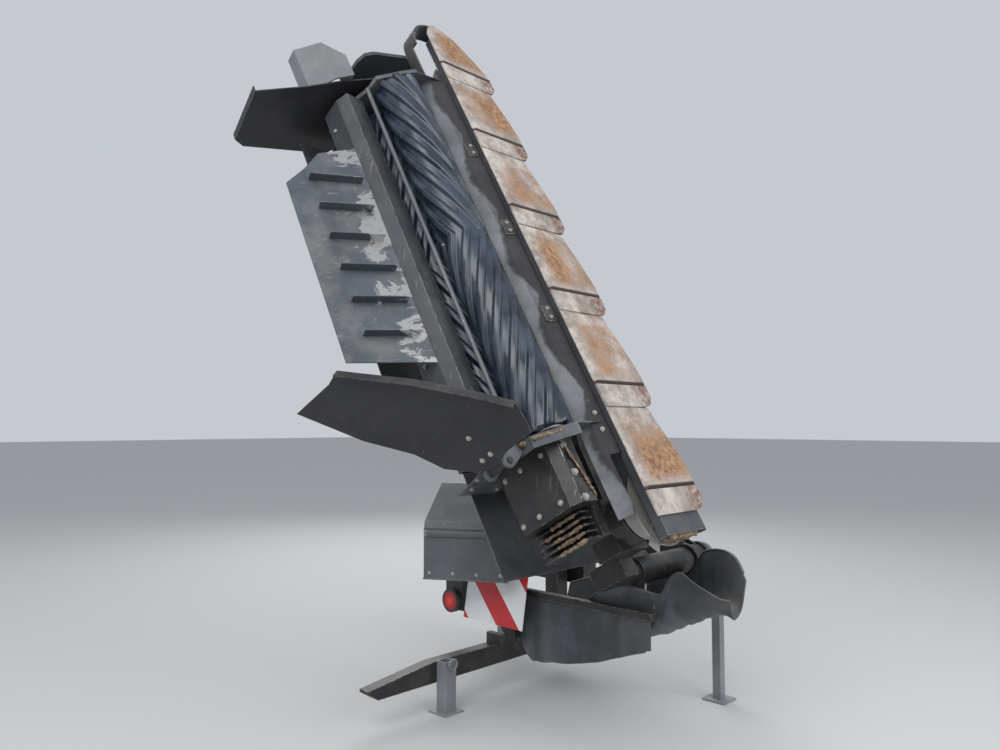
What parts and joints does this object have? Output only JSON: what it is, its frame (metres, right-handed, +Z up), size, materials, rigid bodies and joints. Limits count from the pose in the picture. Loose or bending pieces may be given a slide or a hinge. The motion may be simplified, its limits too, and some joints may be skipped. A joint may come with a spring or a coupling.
{
  "type": "disc mower",
  "caption": "Mounted disc mower with a roller conditioner, folded upright behind its headstock and standing on its parking legs.",
  "frame": {"origin": "middle of the machine's footprint box, on the ground under its legs", "axes": "+X towards the side that the mower works on, +Y the direction of travel, +Z up"},
  "size_m": [1.9949, 1.941, 3.1383],
  "materials": {
    "frame_paint": "satin, chipped and dusty",
    "grey_paint": "satin, scratched to bright metal along its edges",
    "leg_paint": "satin, light blue-grey",
    "board_paint": "gloss, white with two red slanting bands",
    "lamp_lens": "red lens in a dark housing",
    "canvas": "rubberised, dull dark grey",
    "rod_steel": "polished",
    "bare_steel": "worn bright",
    "worn_steel": "worn off-white soles with orange rust",
    "roller_rubber": "smooth, blue-black",
    "moulded_grey": "grained moulding"
  },
  "bodies": {
    "headstock": {"hitch_bar": "frame_paint", "mast_frame": "frame_paint", "main_beam": "frame_paint", "gearbox_input": "grey_paint", "pivot_gearbox": "grey_paint", "stand_arm": "frame_paint", "leg_rear": "leg_paint", "leg_right": "leg_paint", "leg_left": "leg_paint", "drive_cover": "grey_paint", "warning_board": "board_paint", "tail_lamp": "lamp_lens", "stand_curtain": "canvas"},
    "cylinder_barrel": {"cylinder_barrel": "frame_paint"},
    "cylinder_rod": {"cylinder_rod": "rod_steel"},
    "mower": {"fold_hinge": "frame_paint", "frame_beam": "frame_paint", "side_plate_inner": "frame_paint", "side_plate_outer": "frame_paint", "cutter_bar": "frame_paint", "skid_shoes": "worn_steel", "crop_plate": "grey_paint", "outer_loop": "grey_paint", "hood_plate": "grey_paint", "hood_channel": "grey_paint", "scraper_rod": "bare_steel", "bar_gearbox": "frame_paint", "roller_drive_box": "frame_paint", "top_hood": "grey_paint", "guard_canvas": "canvas", "front_canvas": "canvas", "guard_frame": "bare_steel", "end_panel": "grey_paint"},
    "disc_1": {"disc_1": "bare_steel"},
    "disc_2": {"disc_2": "bare_steel"},
    "disc_3": {"disc_3": "bare_steel"},
    "disc_4": {"disc_4": "bare_steel"},
    "disc_5": {"disc_5": "bare_steel"},
    "disc_6": {"disc_6": "bare_steel"},
    "roller_lower": {"roller_lower": "roller_rubber"},
    "roller_upper": {"roller_upper": "roller_rubber"},
    "swath_board_inner": {"swath_board_inner": "frame_paint"},
    "swath_board_outer": {"swath_board_outer": "frame_paint", "outer_guard": "moulded_grey"}
  },
  "joints": [
    {"name": "fold", "type": "hinge", "parent": "headstock", "child": "mower", "pos_m": [0.569, 0.72, 0.65], "axis": [0, 1, 0], "range_deg": [0, 122]},
    {"name": "cylinder_pivot", "type": "hinge", "parent": "headstock", "child": "cylinder_barrel", "pos_m": [-0.381, 0.72, 0.95], "axis": [0, 1, 0], "range_deg": [-6, 2]},
    {"name": "rod_slide", "type": "slide", "parent": "cylinder_barrel", "child": "cylinder_rod", "axis": [0.9745, 0, -0.2244], "range_m": [0, 0.46]},
    {"name": "disc_1_spin", "type": "hinge", "parent": "mower", "child": "disc_1", "pos_m": [0.84791, 0.03, 0.96691], "axis": [-0.866, 0, -0.5], "continuous": true},
    {"name": "disc_2_spin", "type": "hinge", "parent": "mower", "child": "disc_2", "pos_m": [0.63291, 0.03, 1.3393], "axis": [-0.866, 0, -0.5], "continuous": true},
    {"name": "disc_3_spin", "type": "hinge", "parent": "mower", "child": "disc_3", "pos_m": [0.41791, 0.03, 1.7117], "axis": [-0.866, 0, -0.5], "continuous": true},
    {"name": "disc_4_spin", "type": "hinge", "parent": "mower", "child": "disc_4", "pos_m": [0.20291, 0.03, 2.08409], "axis": [-0.866, 0, -0.5], "continuous": true},
    {"name": "disc_5_spin", "type": "hinge", "parent": "mower", "child": "disc_5", "pos_m": [-0.01209, 0.03, 2.45648], "axis": [-0.866, 0, -0.5], "continuous": true},
    {"name": "disc_6_spin", "type": "hinge", "parent": "mower", "child": "disc_6", "pos_m": [-0.22709, 0.03, 2.82887], "axis": [-0.866, 0, -0.5], "continuous": true},
    {"name": "roller_lower_spin", "type": "hinge", "parent": "mower", "child": "roller_lower", "pos_m": [0.20428, -0.34, 1.97172], "axis": [-0.5, 0, 0.866], "continuous": true},
    {"name": "roller_upper_spin", "type": "hinge", "parent": "mower", "child": "roller_upper", "pos_m": [0.02498, -0.32, 1.8682], "axis": [-0.5, 0, 0.866], "continuous": true},
    {"name": "swath_board_inner_turn", "type": "hinge", "parent": "mower", "child": "swath_board_inner", "pos_m": [0.59451, -0.534, 1.10582], "axis": [-0.866, 0, -0.5], "range_deg": [-15, 6]},
    {"name": "swath_board_outer_turn", "type": "hinge", "parent": "mower", "child": "swath_board_outer", "pos_m": [-0.39529, -0.27, 2.72021], "axis": [-0.866, 0, -0.5], "range_deg": [-5, 15]}
  ],
  "couplings": [
    {"joint": "cylinder_pivot", "follows": "fold", "ratio": -0.035164},
    {"joint": "rod_slide", "follows": "fold", "m_per_rad": 0.20456},
    {"joint": "disc_2_spin", "follows": "disc_1_spin", "ratio": -1},
    {"joint": "disc_3_spin", "follows": "disc_1_spin", "ratio": 1},
    {"joint": "disc_4_spin", "follows": "disc_1_spin", "ratio": -1},
    {"joint": "disc_5_spin", "follows": "disc_1_spin", "ratio": 1},
    {"joint": "disc_6_spin", "follows": "disc_1_spin", "ratio": -1},
    {"joint": "roller_upper_spin", "follows": "roller_lower_spin", "ratio": -1}
  ]
}
